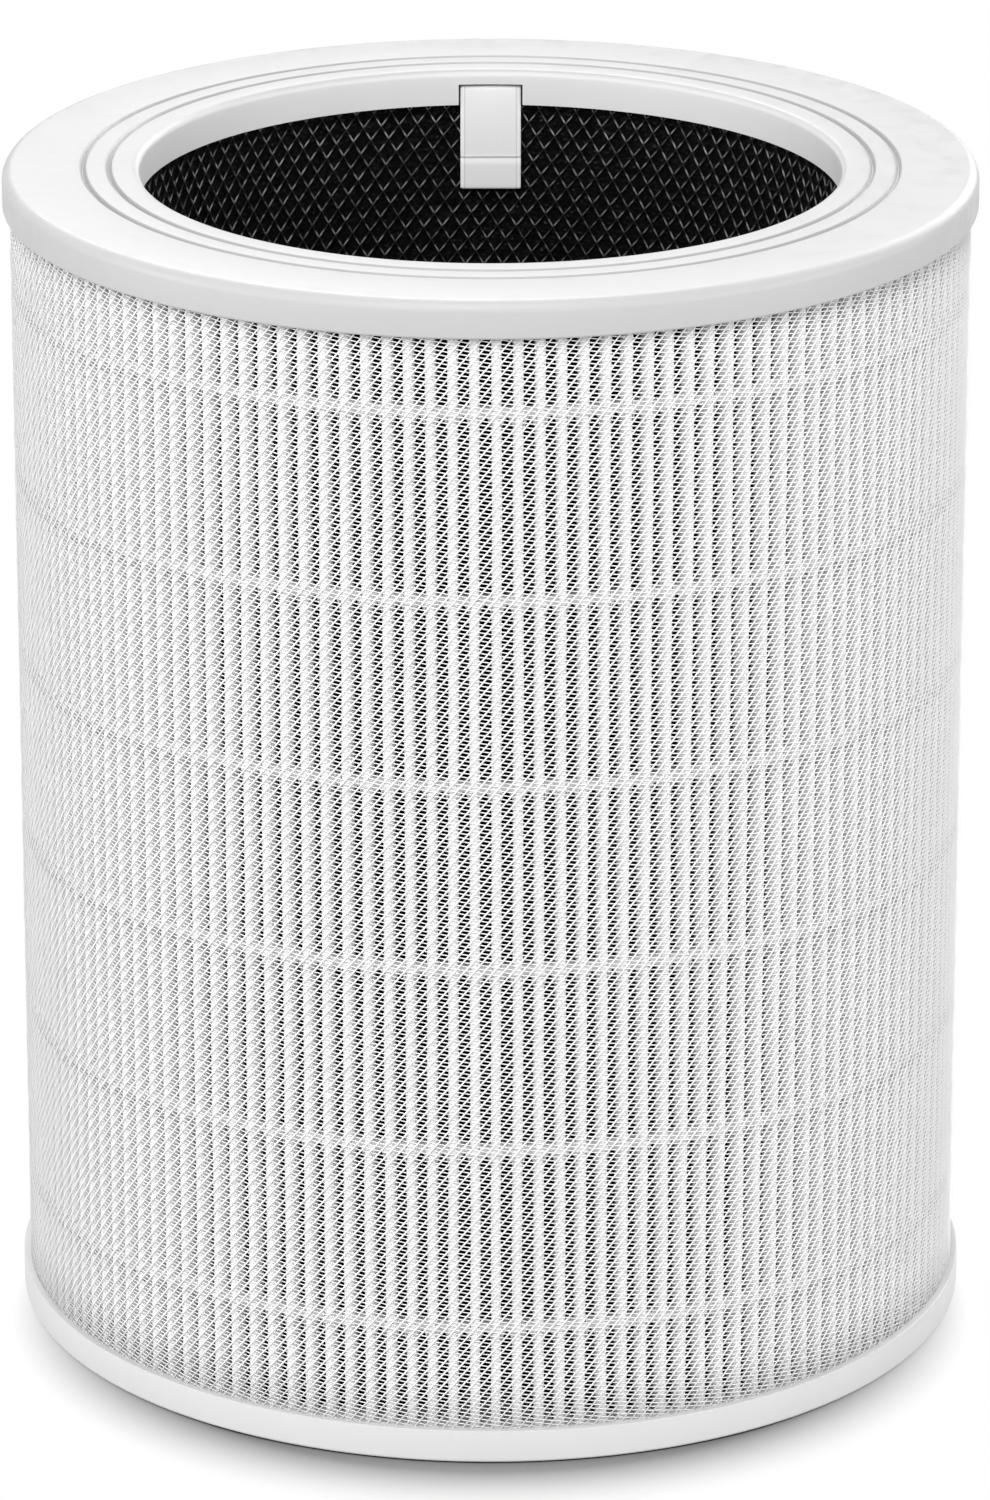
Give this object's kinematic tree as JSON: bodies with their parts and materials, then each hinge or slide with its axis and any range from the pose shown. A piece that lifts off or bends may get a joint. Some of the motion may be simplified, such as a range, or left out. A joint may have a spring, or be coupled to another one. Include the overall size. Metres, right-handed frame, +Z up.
{
  "type": "air purifier filter",
  "caption": "Round cartridge air filter: pleated white paper under a fine net, two ring caps, a carbon-lined bore with a black net and a pull strap.",
  "frame": {"origin": "centre of the base, on the cartridge's axis, where it stands", "axes": "+Z up along the cartridge's axis; +Y towards the pull strap in the bore; +X to the right seen from the side away from the strap"},
  "size_m": [0.26, 0.26, 0.32],
  "materials": {
    "cap_white": "satin",
    "filter_paper": "matte",
    "hot_melt": "satin",
    "net_white": "satin",
    "net_black": "satin",
    "carbon": "matte",
    "strap_white": "satin"
  },
  "bodies": {
    "root": {"top_cap": "cap_white", "bottom_cap": "cap_white", "pleated_media": "filter_paper", "media_joint": "hot_melt", "outer_net": "net_white", "inner_net": "net_black", "carbon_layer": "carbon", "pull_strap": "strap_white", "glue_line_1": "hot_melt", "glue_line_2": "hot_melt", "glue_line_3": "hot_melt", "glue_line_4": "hot_melt", "glue_line_5": "hot_melt", "glue_line_6": "hot_melt"}
  },
  "joints": []
}
